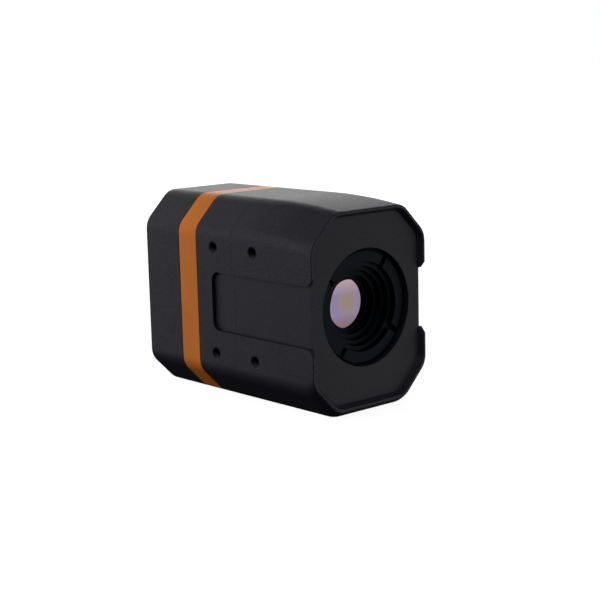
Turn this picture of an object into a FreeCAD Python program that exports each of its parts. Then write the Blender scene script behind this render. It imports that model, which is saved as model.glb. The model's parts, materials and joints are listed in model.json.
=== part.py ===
import FreeCAD, Part
import math
import os
from FreeCAD import Vector

# Compact fixed-mount thermal camera. Its lens looks along -Y, +X is to the right as seen from the front,
# and it stands on its flat bottom at z = 0. The origin is at the bottom centre of the whole object.
# A "depth" is a distance behind the front rim.

body_width = 55.6
body_height = 75.0
body_length = 93.7
corner_cut = 11.2
corner_radius = 7.5
socket_reach = 9.0
total_length = body_length + socket_reach
lens_z = body_height / 2

# Housing rings, front to back
front_end = 42.5
middle_end = 62.7
band_end = 73.25
joint_gap = {front_end: 0.1, middle_end: 0.4, band_end: 0.4}
joint_inset = {front_end: 0.12, middle_end: 0.35, band_end: 0.35}
side_wall = 3.4
top_wall = 2.5
front_cavity_end = 18.0
front_cavity_drop = 1.7
cavity_drop = 0.5

# Front of the body: the top falls in a long curve, the bottom is rounded just behind the rim,
# and the rim stands around a recessed plate
top_curve_depth = 33.0
bottom_curve_depth = 5.6
curve_drop = 2.4
curve_stations = 6
rim_width = 1.0
bevel_width = 1.25
plate_depth = 2.1
plate_thickness = 2.9
lens_opening_radius = 21.1

# Side channels and tapped side holes
channel_height = 21.8
channel_floor = 1.4
channel_end = 54.2
channel_corner = 3.5
rim_notch_rise = 2.5
edge_break = 0.25
side_hole_radius = 2.0
side_hole_length = 5.5
side_hole_depths = (30.9, 52.95)
side_hole_mouth_radius = 2.45
side_hole_mouth_depth = 0.3
side_hole_spacing = 39.2
side_boss_radius = 4.2
side_boss_cover = 1.3
side_boss_overlap = 0.5

# Tie screws through all housing rings
tie_x = 21.2
tie_z = 24.3
tie_boss_radius = 3.3
tie_hole_radius = 1.7
tie_web = 3.0
tie_web_offset = 2.4
tie_head_depth = 86.0
tie_thread_start = 37.0
tie_thread_run_out = 0.8

# Focusing lens
ring_front = 3.85
ring_back = 12.4
ring_radius = 20.1
ring_bore = 16.05
slot_width = 2.0
slot_depth = 2.2
slot_angle = 56.0
collar_front = 9.0
collar_back = 11.0
collar_radius = 21.4
ring_chamfer = 0.25
seal_groove_front = 6.6
seal_groove_back = 7.8
seal_groove_radius = 18.95
seal_radius = 0.55
seal_ring_radius = 19.59
mount_front = plate_depth + plate_thickness
mount_back = 16.2
mount_radius = 22.9
mount_bore = 20.18
mount_counterbore = 21.5
mount_counterbore_end = 13.6
clip_groove_front = 11.25
clip_groove_back = 12.35
clip_groove_radius = 22.1
clip_inner_radius = 20.5
clip_gap = 7.0
slide_clearance = 0.06
flange_thickness = 3.0
flange_radius = 23.8
flange_overlap = 0.5
ear_width = 22.0
ear_height = 10.0
ear_z = 25.5
flange_screw_x = 7.0
flange_screw_z = 26.5
cell_front = 5.6
cell_back = 28.5
cell_radius = 15.95
cell_tail_radius = 12.6
cell_mouth_radius = 14.3
cell_taper_start = 20.5
cell_taper_end = 22.0
cell_throat_radius = 7.6
baffle_seat = 13.15
baffle_front = 7.6
# Bore radius of each baffle step and the depth where it ends
baffle_steps = ((12.5, 9.5), (10.6, 11.2), (9.8, 12.0), (8.75, 12.7))
baffle_relief_depth = 13.02
baffle_relief_radius = 9.5
key_pin_radius = 0.75
key_pin_depth = 14.9
keyway_width = 1.6
keyway_front = 12.6
keyway_back = 17.4
keyway_floor = 1.25
front_lens_vertex = 14.0
front_lens_radius = 10.5
front_lens_curve = -60.0
front_lens_seat = 9.55
front_lens_middle = 4.3
front_lens_rear_curve = -45.0
front_lens_rear_radius = 7.55
front_lens_back = 17.55
rear_lens_curve = 60.0
rear_lens_clear_radius = 7.55
rear_lens_radius = 8.95
rear_lens_front = 24.02
rear_lens_back = 26.4

# Shutter and detector stack
post_end = 32.0
post_radius = 3.0
stack_x = 15.0
stack_z = 29.0
stack_width = 35.0
stack_height = 64.0
bracket_thickness = 1.0
spacer_length = 5.5
board_thickness = 1.6
spreader_gap = 0.9
spreader_thickness = 1.6
stack_hole_radius = 1.35
stack_thread_radius = 1.25
stack_notch = 3.0
light_opening_radius = 9.0
flex_slot_width = 15.0
flex_z = -28.0
shutter_pivot_rise = 20.0
shutter_swing = 50.0
blade_radius = 8.0
blade_depth = 33.9
blade_thickness = 0.3
motor_radius = 3.75
motor_length = 9.0
motor_nose_radius = 1.5
detector_size = 20.0
window_size = 12.0
window_thickness = 0.8
package_height = 2.6
package_corner = 0.8
pad_size = 18.0

# Electronics boards
standoff_x = 12.5
standoff_z = 21.0
processor_depth = 52.0
interface_depth = 66.0
board_width = 35.0
board_height = 60.0
connector_height = 4.5

# Rear panel and sockets
panel_front = 90.2
panel_thickness = 3.0
panel_wall = 1.4
panel_gasket_thickness = 0.5
panel_screw_spots = ((-16.5, 30.8), (16.5, 30.8), (-21.2, 0.0), (21.2, 0.0), (-16.5, -30.8), (16.5, -30.8))
panel_boss_radius = 3.0
panel_boss_length = 5.0
panel_web_width = 3.4
panel_web_height = 5.2
panel_web_offset = 2.4
panel_thread_radius = 1.25
panel_screw_hole = 1.4
panel_counterbore = 2.4
panel_counterbore_depth = 1.5
panel_clearance = 0.08
socket_spread = 15.0
socket_flange_radius = 8.4
socket_hole_radius = 6.6
socket_flange_thickness = 2.2
socket_tail_length = 5.0
socket_tail_bore = 4.6
socket_chamfer = 0.3
shell_chamfer = 0.4
insert_front_length = 3.5
network_core_radius = 4.3
contact_radius = 0.42
contact_ring_radius = 3.1
power_core_radius = 4.4
pin_radius = 0.38
network_shell_radius = 7.2
network_bore = 5.6
power_shell_radius = 6.0
power_bore = 4.9
light_spread = 9.5
light_radius = 1.5

# Screws: shank and head radius, head height, socket size across flats and solid part of the head
tie_screw = {"shank": 1.5, "head": 2.75, "height": 3.0, "socket": 2.5, "floor": 1.4}
flange_screw = {"shank": 1.0, "head": 1.9, "height": 1.6, "socket": 1.5, "floor": 0.7}
stack_screw = {"shank": 1.2, "head": 2.25, "height": 1.8, "socket": 2.0, "floor": 0.8}
board_screw = {"shank": 0.95, "head": 1.9, "height": 1.5, "socket": 1.5, "floor": 0.6}
panel_screw = {"shank": 1.2, "head": 2.25, "height": 1.3, "socket": 1.5, "floor": 0.4}

bracket_front = post_end
spacer_front = bracket_front + bracket_thickness
sensor_front = spacer_front + spacer_length
sensor_back = sensor_front + board_thickness
spreader_back = sensor_back + spreader_gap + spreader_thickness
panel_back = panel_front + panel_thickness
insert_front = panel_front - insert_front_length


def at(depth):
    """Y of a depth behind the front rim."""
    return depth - total_length / 2


def block(x_size, z_size, depth_from, depth_to, x=0.0, z=0.0):
    """A box centred on (x, z) beside the lens axis, between two depths."""
    corner = Vector(x - x_size / 2, at(depth_from), lens_z + z - z_size / 2)
    return Part.makeBox(x_size, depth_to - depth_from, z_size, corner)


def rod(radius, depth_from, depth_to, x=0.0, z=0.0):
    """A cylinder along Y."""
    base = Vector(x, at(depth_from), lens_z + z)
    return Part.makeCylinder(radius, depth_to - depth_from, base, Vector(0, 1, 0))


def tube(outer, inner, depth_from, depth_to, x=0.0, z=0.0):
    return rod(outer, depth_from, depth_to, x, z).cut(rod(inner, depth_from - 1, depth_to + 1, x, z))


def turned(profile, x=0.0, z=0.0):
    """A body of revolution about an axis along Y; profile is a closed list of (depth, radius)."""
    points = [Vector(x + radius, at(depth), lens_z + z) for depth, radius in profile]
    face = Part.Face(Part.makePolygon(points + [points[0]]))
    return face.revolve(Vector(x, 0, lens_z + z), Vector(0, 1, 0), 360)


def hexagon_rod(across_flats, depth_from, depth_to, x=0.0, z=0.0):
    radius = across_flats / math.sqrt(3)
    corners = []
    for step in range(6):
        angle = math.radians(60 * step + 30)
        corner_x = x + radius * math.cos(angle)
        corner_z = lens_z + z + radius * math.sin(angle)
        corners.append(Vector(corner_x, at(depth_from), corner_z))
    face = Part.Face(Part.makePolygon(corners + [corners[0]]))
    return face.extrude(Vector(0, depth_to - depth_from, 0))


def cap_screws(spots, size, shank_start, seat):
    """Socket-head screws at (x, z) spots, with the underside of each head at the seat's depth."""
    screws = []
    for x, z in spots:
        shank = rod(size["shank"], shank_start, seat, x, z)
        head = rod(size["head"], seat, seat + size["height"], x, z)
        socket = hexagon_rod(size["socket"], seat + size["floor"], seat + size["height"] + 1.0, x, z)
        screws.append(shank.fuse(head).removeSplitter().cut(socket))
    return Part.makeCompound(screws)


def union(shapes):
    return shapes[0].multiFuse(shapes[1:]).removeSplitter()


def four(x, z):
    return [(-x, z), (x, z), (-x, -z), (x, -z)]


def rounded_wire(corners, radius, depth):
    """Closed outline through (x, z) corners at one depth, each corner a tangent arc."""
    edges = []
    arcs = []
    count = len(corners)
    for index in range(count):
        corner = Vector(corners[index][0], at(depth), lens_z + corners[index][1])
        before = Vector(corners[index - 1][0], at(depth), lens_z + corners[index - 1][1])
        after_xz = corners[(index + 1) % count]
        after = Vector(after_xz[0], at(depth), lens_z + after_xz[1])
        to_before = (before - corner).normalize()
        to_after = (after - corner).normalize()
        half_angle = to_before.getAngle(to_after) / 2
        start = corner + to_before * (radius / math.tan(half_angle))
        end = corner + to_after * (radius / math.tan(half_angle))
        inward = (to_before + to_after).normalize()
        middle = corner + inward * (radius / math.sin(half_angle) - radius)
        arcs.append((start, middle, end))
    for index in range(count):
        start, middle, end = arcs[index]
        edges.append(Part.Arc(start, middle, end).toShape())
        edges.append(Part.LineSegment(end, arcs[(index + 1) % count][0]).toShape())
    return Part.Wire(edges)


outer_diagonal = body_width / 2 + body_height / 2 - corner_cut
diagonal_step = math.sqrt(2)


def section(half_width, top, bottom, top_diagonal, bottom_diagonal):
    """Corners of a rectangle whose corners are cut by the lines |x| + |z| = diagonal."""
    return [(half_width, top_diagonal - half_width), (top_diagonal - top, top),
            (top - top_diagonal, top), (-half_width, top_diagonal - half_width),
            (-half_width, half_width - bottom_diagonal), (bottom - bottom_diagonal, -bottom),
            (bottom_diagonal - bottom, -bottom), (half_width, half_width - bottom_diagonal)]


def body_wire(depth, inset=0.0, top_drop=0.0, bottom_drop=0.0):
    """The body's section, inset evenly, with its top and bottom moved in by their drops."""
    half_height = body_height / 2 - inset
    diagonal = outer_diagonal - inset * diagonal_step
    corners = section(body_width / 2 - inset, half_height - top_drop, half_height - bottom_drop,
                      diagonal - top_drop, diagonal - bottom_drop)
    return rounded_wire(corners, corner_radius - inset * 0.4, depth)


def body_prism(depth_from, depth_to, inset=0.0):
    face = Part.Face(body_wire(depth_from, inset))
    return face.extrude(Vector(0, depth_to - depth_from, 0))


def cavity(depth_from, depth_to, drop=0.0):
    """The hollow inside the housing rings."""
    half_height = body_height / 2 - top_wall - drop
    diagonal = outer_diagonal - top_wall * diagonal_step - drop
    corners = section(body_width / 2 - side_wall, half_height, half_height, diagonal, diagonal)
    face = Part.Face(rounded_wire(corners, corner_radius - top_wall, depth_from))
    return face.extrude(Vector(0, depth_to - depth_from, 0))


def front_drop(depth, start):
    """How far a face has curved in at a depth: an arc that is level at start and ends at the rim."""
    radius = (start ** 2 + curve_drop ** 2) / (2 * curve_drop)
    return radius - math.sqrt(radius ** 2 - max(start - depth, 0.0) ** 2)


def front_loft(depth_from, depth_to):
    """Solid of the curved front between two depths."""
    wires = []
    for step in range(curve_stations + 1):
        depth = depth_from + (depth_to - depth_from) * step / curve_stations
        top_drop = front_drop(depth, top_curve_depth)
        bottom_drop = front_drop(depth, bottom_curve_depth)
        wires.append(body_wire(depth, 0.0, top_drop, bottom_drop))
    return Part.makeLoft(wires, True, False)


def side_channels(depth_from, depth_to, closed_end):
    """The two shallow channels; the closed rear end has round corners."""
    cutters = []
    for side in (-1, 1):
        x = side * (body_width / 2 - channel_floor / 2 + 1.0)
        cutter = block(channel_floor + 2.0, channel_height, depth_from, depth_to, x, 0)
        if closed_end:
            y_end = at(depth_to)
            ends = []
            for edge in cutter.Edges:
                middle = edge.CenterOfMass
                along_x = abs(edge.BoundBox.XLength - channel_floor - 2.0) < 0.01
                if along_x and abs(middle.y - y_end) < 0.01:
                    ends.append(edge)
            cutter = cutter.makeFillet(channel_corner, ends)
        cutters.append(cutter)
    return cutters


def rim_notches():
    """Cuts that open the rim where each channel meets the front, with slanted ends above and below."""
    cutters = []
    inner = body_width / 2 - rim_width - bevel_width - 0.5
    half = channel_height / 2
    slope = rim_notch_rise / plate_depth
    corners = [(-1.0, half + rim_notch_rise + slope), (plate_depth, half), (plate_depth, -half),
               (-1.0, -half - rim_notch_rise - slope)]
    for side in (-1, 1):
        points = [Vector(side * inner, at(depth), lens_z + z) for depth, z in corners]
        face = Part.Face(Part.makePolygon(points + [points[0]]))
        cutters.append(face.extrude(Vector(side * (body_width / 2 - inner + 1.0), 0, 0)))
    return cutters


def side_hole(side, depth, z):
    """Blind tapped hole in the side, at its thread's outer diameter, with a countersunk mouth."""
    x = side * body_width / 2
    inward = Vector(-side, 0, 0)
    outside = 0.1
    outside_radius = side_hole_mouth_radius + outside
    bore = Part.makeCylinder(side_hole_radius, side_hole_length, Vector(x, at(depth), lens_z + z), inward)
    cone = Part.makeCone(outside_radius, side_hole_radius, side_hole_mouth_depth + outside,
                         Vector(x + side * outside, at(depth), lens_z + z), inward)
    return bore.fuse(cone)


def side_bosses(depth):
    """Thick spots behind the side holes."""
    shapes = []
    for x, z in four(body_width / 2, side_hole_spacing / 2):
        side = math.copysign(1, x)
        start = Vector(side * (body_width / 2 - side_wall + side_boss_overlap), at(depth), lens_z + z)
        length = side_hole_length + side_boss_cover - side_wall + side_boss_overlap
        shapes.append(Part.makeCylinder(side_boss_radius, length, start, Vector(-side, 0, 0)))
    return shapes


def tie_bosses(depth_from, depth_to, hole_from, hole_to, hole_radius):
    """Corner bosses joined to the wall, and the cutters for their holes."""
    bosses = []
    holes = []
    for x, z in four(tie_x, tie_z):
        bosses.append(rod(tie_boss_radius, depth_from, depth_to, x, z))
        web_x = x + math.copysign(tie_web_offset, x)
        bosses.append(block(tie_web, 2 * tie_boss_radius, depth_from, depth_to, web_x, z))
        holes.append(rod(hole_radius, hole_from, hole_to, x, z))
    return bosses, holes


def front_housing():
    edge_wire = body_wire(edge_break, 0.0, front_drop(edge_break, top_curve_depth),
                          front_drop(edge_break, bottom_curve_depth))
    lip = Part.makeLoft([edge_wire, body_wire(0.0, edge_break, curve_drop, curve_drop)], True, True)
    ring_end = front_end - joint_gap[front_end] / 2
    shell = union([lip, front_loft(edge_break, bottom_curve_depth),
                   front_loft(bottom_curve_depth, top_curve_depth), body_prism(top_curve_depth, ring_end)])
    shell = shell.cut(cavity(mount_front, front_cavity_end, front_cavity_drop))
    shell = shell.cut(cavity(front_cavity_end - 0.1, ring_end + 1.0, cavity_drop))
    recess = Part.makeLoft([body_wire(-0.01, rim_width, curve_drop, curve_drop),
                            body_wire(plate_depth, rim_width + bevel_width, curve_drop, curve_drop)],
                           True, True)
    shell = shell.cut(recess)
    bosses, holes = tie_bosses(tie_thread_start - 1.0, ring_end, tie_thread_start, ring_end + 1.0,
                               tie_screw["shank"])
    posts = [rod(post_radius, mount_front - 0.2, post_end, x, z) for x, z in four(stack_x, stack_z)]
    shell = union([shell] + bosses + side_bosses(side_hole_depths[0]) + posts)
    cutters = holes + [rod(lens_opening_radius, -1.0, mount_front + 1.0)]
    cutters += side_channels(plate_depth - 0.01, ring_end + 1.0, False)
    cutters += rim_notches()
    for x, z in four(1, side_hole_spacing / 2):
        cutters.append(side_hole(x, side_hole_depths[0], z))
    for x, z in four(stack_x, stack_z):
        cutters.append(rod(stack_thread_radius, post_end - 6.0, post_end + 1.0, x, z))
    for x, z in four(flange_screw_x, flange_screw_z):
        cutters.append(rod(flange_screw["shank"], plate_depth + 0.7, mount_front + 1.0, x, z))
    for cutter in cutters:
        shell = shell.cut(cutter)
    return shell


def ring_section(depth_from, depth_to):
    """A housing ring with four tie-screw bosses."""
    start = depth_from + joint_gap[depth_from] / 2
    end = depth_to - joint_gap[depth_to] / 2
    bosses, holes = tie_bosses(start, end, start - 1.0, end + 1.0, tie_hole_radius)
    ring = union([body_prism(start, end).cut(cavity(start - 1.0, end + 1.0))] + bosses)
    for hole in holes:
        ring = ring.cut(hole)
    return ring


def middle_housing():
    ring = union([ring_section(front_end, middle_end)] + side_bosses(side_hole_depths[1]))
    cutters = side_channels(front_end - 1.0, channel_end, True)
    for x, z in four(1, side_hole_spacing / 2):
        cutters.append(side_hole(x, side_hole_depths[1], z))
    for x, z in four(tie_x, tie_z):
        cutters.append(rod(tie_hole_radius, front_end, middle_end, x, z))
    for cutter in cutters:
        ring = ring.cut(cutter)
    return ring


def accent_band():
    return ring_section(middle_end, band_end)


def rear_housing():
    start = band_end + joint_gap[band_end] / 2
    edge_start = body_length - edge_break
    lip = Part.makeLoft([body_wire(edge_start), body_wire(body_length, edge_break)], True, True)
    shell = body_prism(start, edge_start).fuse(lip).cut(cavity(start - 1.0, body_length + 1.0))
    bosses, holes = tie_bosses(start, tie_head_depth, start - 1.0, tie_head_depth + 1.0, tie_hole_radius)
    ledge_back = panel_front - panel_gasket_thickness
    ledge_front = ledge_back - panel_boss_length
    for x, z in panel_screw_spots:
        bosses.append(rod(panel_boss_radius, ledge_front, ledge_back, x, z))
        if not z:
            web_x = x + math.copysign(panel_web_offset, x)
            bosses.append(block(panel_web_width, panel_web_height, ledge_front, ledge_back, web_x, z))
    shell = union([shell] + bosses)
    shell = shell.cut(body_prism(ledge_back, body_length + 1.0, panel_wall))
    for hole in holes:
        shell = shell.cut(hole)
    for x, z in panel_screw_spots:
        shell = shell.cut(rod(panel_thread_radius, ledge_front + 0.6, panel_front, x, z))
    return shell


def flat_gasket(depth):
    """Thin gasket between two housing rings, a little inside the outer surface."""
    start = depth - joint_gap[depth] / 2
    end = depth + joint_gap[depth] / 2
    inset = joint_inset[depth]
    ring = body_prism(start, end, inset).cut(cavity(start - 1.0, end + 1.0))
    if depth < channel_end:
        floor = body_width / 2 - channel_floor - inset
        for x in (-(floor + body_width / 2) / 2, (floor + body_width / 2) / 2):
            ring = ring.cut(block(body_width / 2 - floor, channel_height + 2 * inset, start, end, x))
    for x, z in four(tie_x, tie_z):
        ring = ring.cut(rod(tie_hole_radius, start - 1.0, end + 1.0, x, z))
    return ring


def tie_screws():
    return cap_screws(four(tie_x, tie_z), tie_screw, tie_thread_start + tie_thread_run_out, tie_head_depth)


def focus_ring():
    """Turned ring with four spanner slots, a retaining collar and a seal groove."""
    profile = [(ring_front, ring_bore), (ring_front, ring_radius - ring_chamfer),
               (ring_front + ring_chamfer, ring_radius), (seal_groove_front, ring_radius),
               (seal_groove_front, seal_groove_radius), (seal_groove_back, seal_groove_radius),
               (seal_groove_back, ring_radius), (collar_front, ring_radius),
               (collar_front, collar_radius), (collar_back, collar_radius),
               (collar_back, ring_radius), (ring_back, ring_radius), (ring_back, ring_bore)]
    ring = turned(profile)
    reach = ring_radius + 1.0
    for quarter in range(4):
        slot = Part.makeBox(reach, slot_depth, slot_width, Vector(0, at(ring_front), -slot_width / 2))
        slot.translate(Vector(0, -0.01, lens_z))
        slot.rotate(Vector(0, 0, lens_z), Vector(0, 1, 0), -(slot_angle + 90 * quarter))
        ring = ring.cut(slot)
    return ring


def focus_ring_seal():
    """O-ring that rides in the focus ring's groove."""
    centre = Vector(0, at((seal_groove_front + seal_groove_back) / 2), lens_z)
    return Part.makeTorus(seal_ring_radius, seal_radius, centre, Vector(0, 1, 0))


def lens_mount():
    """Fixed housing of the focus ring: flange, bore, clip groove and a rear wall that guides the cell."""
    flange_back = mount_front + flange_thickness
    guide = cell_radius + slide_clearance
    shoulder = collar_front - 0.1
    profile = [(mount_front, mount_bore), (mount_front, mount_radius), (mount_back, mount_radius),
               (mount_back, guide), (mount_counterbore_end, guide),
               (mount_counterbore_end, mount_counterbore), (clip_groove_back, mount_counterbore),
               (clip_groove_back, clip_groove_radius), (clip_groove_front, clip_groove_radius),
               (clip_groove_front, mount_counterbore), (shoulder, mount_counterbore), (shoulder, mount_bore)]
    inner = mount_radius - flange_overlap
    parts = [turned(profile), tube(flange_radius, inner, mount_front, flange_back)]
    for z in (-ear_z, ear_z):
        ear = block(ear_width, ear_height, mount_front, flange_back, 0, z)
        parts.append(ear.cut(rod(inner, mount_front - 1.0, flange_back + 1.0)))
    mount = union(parts)
    for x, z in four(flange_screw_x, flange_screw_z):
        mount = mount.cut(rod(flange_screw["shank"] + 0.15, mount_front - 1.0, flange_back + 1.0, x, z))
    return mount.cut(key_pin(mount_radius))


def lens_mount_screws():
    seat = mount_front + flange_thickness
    return cap_screws(four(flange_screw_x, flange_screw_z), flange_screw, plate_depth + 0.9, seat)


def focus_ring_clip():
    """Spring clip in the mount's groove that keeps the focus ring in."""
    play = 0.05
    outer = clip_groove_radius - play
    clip = tube(outer, clip_inner_radius, clip_groove_front + play, clip_groove_back - play)
    gap = block(clip_gap, clip_gap, clip_groove_front - 1.0, clip_groove_back + 1.0, 0, -clip_groove_radius)
    return clip.cut(gap)


def key_pin(length):
    """Radial cylinder at the top of the lens cell, from just inside its surface."""
    base = Vector(0, at(key_pin_depth), lens_z + cell_radius - 1.0)
    return Part.makeCylinder(key_pin_radius, length, base, Vector(0, 0, 1))


def focus_key_pin():
    """Pin that stops the lens cell turning with the focus ring."""
    return key_pin(mount_radius - cell_radius + 0.9)


def lens_cell():
    """Sliding tube that carries both lenses; its mouth is stepped."""
    rear_bore = rear_lens_radius + 0.05
    rear_shoulder = rear_lens_front - 0.02
    front_bore = front_lens_radius + 0.06
    front_shoulder = front_lens_back + 0.05
    profile = [(cell_front, cell_mouth_radius), (cell_front, cell_radius), (cell_taper_start, cell_radius),
               (cell_taper_end, cell_tail_radius), (cell_back, cell_tail_radius), (cell_back, rear_bore),
               (rear_shoulder, rear_bore), (rear_shoulder, cell_throat_radius),
               (front_shoulder, cell_throat_radius), (front_shoulder, front_bore),
               (baffle_seat, front_bore), (baffle_seat, cell_mouth_radius)]
    keyway_height = 3.0
    keyway_z = cell_radius - keyway_floor + keyway_height / 2
    keyway = block(keyway_width, keyway_height, keyway_front, keyway_back, 0, keyway_z)
    return turned(profile).cut(keyway)


def lens_baffle():
    """Stepped threaded ring that holds the front lens and stops stray heat radiation."""
    outer = cell_mouth_radius - slide_clearance
    back = baffle_seat - 0.03
    profile = [(baffle_front, outer)]
    start = baffle_front
    for radius, end in baffle_steps:
        profile += [(start, radius), (end, radius)]
        start = end
    profile += [(baffle_relief_depth, baffle_relief_radius), (back, baffle_relief_radius), (back, outer)]
    return turned(profile)


def lens_spot(radius, depth):
    return Vector(radius, at(depth), lens_z)


def sag(curve, radius):
    """How far behind its vertex a sphere is at a distance from the axis; a negative curve is hollow."""
    return curve - math.copysign(math.sqrt(curve ** 2 - radius ** 2), curve)


def lens_face(curve, vertex, edge_radius):
    """Arc of a lens face from the axis to its edge."""
    middle = lens_spot(edge_radius / 2, vertex + sag(curve, edge_radius / 2))
    edge = lens_spot(edge_radius, vertex + sag(curve, edge_radius))
    return Part.Arc(lens_spot(0, vertex), middle, edge).toShape()


def lens_body(edges, outline):
    """Revolves curved edges joined by the straight outline that runs between their ends."""
    for start, end in zip(outline[:-1], outline[1:]):
        edges.append(Part.LineSegment(start, end).toShape())
    face = Part.Face(Part.Wire(Part.sortEdges(edges)[0]))
    return face.revolve(Vector(0, 0, lens_z), Vector(0, 1, 0), 360)


def front_lens():
    """Germanium meniscus, hollow towards the front, with a ground seat at its edge."""
    rear_vertex = front_lens_vertex + front_lens_middle
    seat_depth = front_lens_vertex + sag(front_lens_curve, front_lens_seat)
    rear_edge_depth = rear_vertex + sag(front_lens_rear_curve, front_lens_rear_radius)
    outline = [lens_spot(front_lens_seat, seat_depth), lens_spot(front_lens_radius, seat_depth),
               lens_spot(front_lens_radius, front_lens_back),
               lens_spot(front_lens_rear_radius, front_lens_back),
               lens_spot(front_lens_rear_radius, rear_edge_depth)]
    front = lens_face(front_lens_curve, front_lens_vertex, front_lens_seat)
    back = lens_face(front_lens_rear_curve, rear_vertex, front_lens_rear_radius)
    axis = Part.LineSegment(lens_spot(0, front_lens_vertex), lens_spot(0, rear_vertex)).toShape()
    return lens_body([front, back, axis], outline)


def rear_lens():
    """Second element: flat towards the detector, curved to the front, seated in the cell's tail."""
    vertex = rear_lens_front - sag(rear_lens_curve, rear_lens_clear_radius)
    outline = [lens_spot(rear_lens_clear_radius, rear_lens_front),
               lens_spot(rear_lens_radius, rear_lens_front),
               lens_spot(rear_lens_radius, rear_lens_back),
               lens_spot(0, rear_lens_back), lens_spot(0, vertex)]
    return lens_body([lens_face(rear_lens_curve, vertex, rear_lens_clear_radius)], outline)


def rear_lens_retainer():
    return tube(rear_lens_radius, rear_lens_clear_radius - 0.15, rear_lens_back + 0.02, cell_back - 0.3)


def stack_plate(depth_from, depth_to):
    """Board outline of the detector stack, with four screw holes."""
    plate = block(stack_width, stack_height, depth_from, depth_to)
    for x, z in four(tie_x, tie_z):
        plate = plate.cut(rod(tie_boss_radius + 0.5, depth_from - 1, depth_to + 1, x, z))
    for x, z in four(stack_width / 2, stack_height / 2):
        side = math.copysign(1, x)
        rise = math.copysign(1, z)
        notch = block(stack_notch, stack_notch, depth_from - 1, depth_to + 1, x + side * 0.2, z + rise * 0.2)
        plate = plate.cut(notch)
    for x, z in four(stack_x, stack_z):
        plate = plate.cut(rod(stack_hole_radius, depth_from - 1, depth_to + 1, x, z))
    return plate


def shutter_bracket():
    """Plate with the light opening, on which the shutter motor sits."""
    plate = stack_plate(bracket_front, bracket_front + bracket_thickness)
    start = bracket_front - 1.0
    end = bracket_front + bracket_thickness + 1.0
    plate = plate.cut(rod(light_opening_radius, start, end))
    return plate.cut(rod(motor_nose_radius + 0.1, start, end, 0, shutter_pivot_rise))


def shutter_motor():
    can = rod(motor_radius, bracket_front - motor_length, bracket_front, 0, shutter_pivot_rise)
    nose = rod(motor_nose_radius, bracket_front, bracket_front + 0.6, 0, shutter_pivot_rise)
    return can.fuse(nose).removeSplitter()


def shutter_blade():
    """Thin flag on the motor shaft, swung clear of the light path."""
    pivot_z = shutter_pivot_rise
    head = rod(blade_radius, blade_depth, blade_depth + blade_thickness, 0, 0)
    arm = block(4.0, pivot_z, blade_depth, blade_depth + blade_thickness, 0, pivot_z / 2)
    hub = rod(2.2, blade_depth, blade_depth + 1.2, 0, pivot_z)
    blade = union([head, arm, hub])
    blade.rotate(Vector(0, 0, lens_z + pivot_z), Vector(0, 1, 0), -shutter_swing)
    return blade


def sensor_spacers():
    spacers = []
    for x, z in four(stack_x, stack_z):
        spacers.append(tube(2.5, stack_hole_radius, spacer_front, sensor_front, x, z))
    return Part.makeCompound(spacers)


def detector_package():
    body = block(detector_size, detector_size, sensor_front - package_height, sensor_front)
    corner_edges = []
    for edge in body.Edges:
        if edge.BoundBox.YLength > package_height - 0.1:
            corner_edges.append(edge)
    return body.makeChamfer(package_corner, corner_edges)


def detector_window():
    front = sensor_front - package_height - window_thickness
    return block(window_size, window_size, front, sensor_front - package_height)


def sensor_board():
    return stack_plate(sensor_front, sensor_back)


def thermal_pad():
    return block(pad_size, pad_size, sensor_back, sensor_back + spreader_gap)


def heat_spreader():
    """Aluminium plate behind the sensor board; corner pads stand it off, a slot passes the flex."""
    plate_front = sensor_back + spreader_gap
    plate = stack_plate(plate_front, spreader_back)
    pads = [rod(2.5, sensor_back, plate_front + 0.1, x, z) for x, z in four(stack_x, stack_z)]
    plate = union([plate] + pads)
    for x, z in four(stack_x, stack_z):
        plate = plate.cut(rod(stack_hole_radius, sensor_back - 1, spreader_back + 1, x, z))
    for x, z in four(standoff_x, standoff_z):
        plate = plate.cut(rod(board_screw["shank"], sensor_back - 1, spreader_back + 1, x, z))
    return plate.cut(block(flex_slot_width, 5.0, sensor_back - 1, spreader_back + 1, 0, flex_z))


def sensor_screws():
    return cap_screws(four(stack_x, stack_z), stack_screw, post_end - 5.0, spreader_back)


def sensor_flex():
    """Flat flexible cable from the sensor board to the processor board, with a connector at each end."""
    height = 1.4
    near = block(13.0, 3.0, sensor_back, sensor_back + height, 0, flex_z)
    strip = block(10.0, 0.3, sensor_back + height - 0.1, processor_depth - height + 0.1, 0, flex_z)
    far = block(13.0, 3.0, processor_depth - height, processor_depth, 0, flex_z)
    return union([near, strip, far])


def circuit_board(depth):
    board = block(board_width, board_height, depth, depth + board_thickness)
    for x, z in four(tie_x, tie_z):
        board = board.cut(rod(tie_boss_radius + 0.5, depth - 1, depth + 3, x, z))
    for x, z in four(standoff_x, standoff_z):
        board = board.cut(rod(1.1, depth - 1, depth + 3, x, z))
    return board


def standoffs(depth_from, depth_to):
    """Four hexagonal posts, each with a stud at its front end."""
    posts = []
    for x, z in four(standoff_x, standoff_z):
        post = hexagon_rod(4.0, depth_from, depth_to, x, z)
        hole = rod(1.0, depth_to - 4.0, depth_to + 1.0, x, z)
        stud = rod(0.9, depth_from - 1.6, depth_from + 0.1, x, z)
        posts.append(post.fuse(stud).removeSplitter().cut(hole))
    return Part.makeCompound(posts)


def board_screws():
    seat = interface_depth + board_thickness
    return cap_screws(four(standoff_x, standoff_z), board_screw, seat - 4.5, seat)


def processor_chips():
    """Processor and two memory chips on the rear of the processor board."""
    back = processor_depth + board_thickness
    chips = [block(16.0, 16.0, back, back + 1.6, 0, 3.0), block(9.0, 11.0, back, back + 1.1, -7.0, -12.5),
             block(9.0, 11.0, back, back + 1.1, 7.0, -12.5)]
    return Part.makeCompound(chips)


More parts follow.
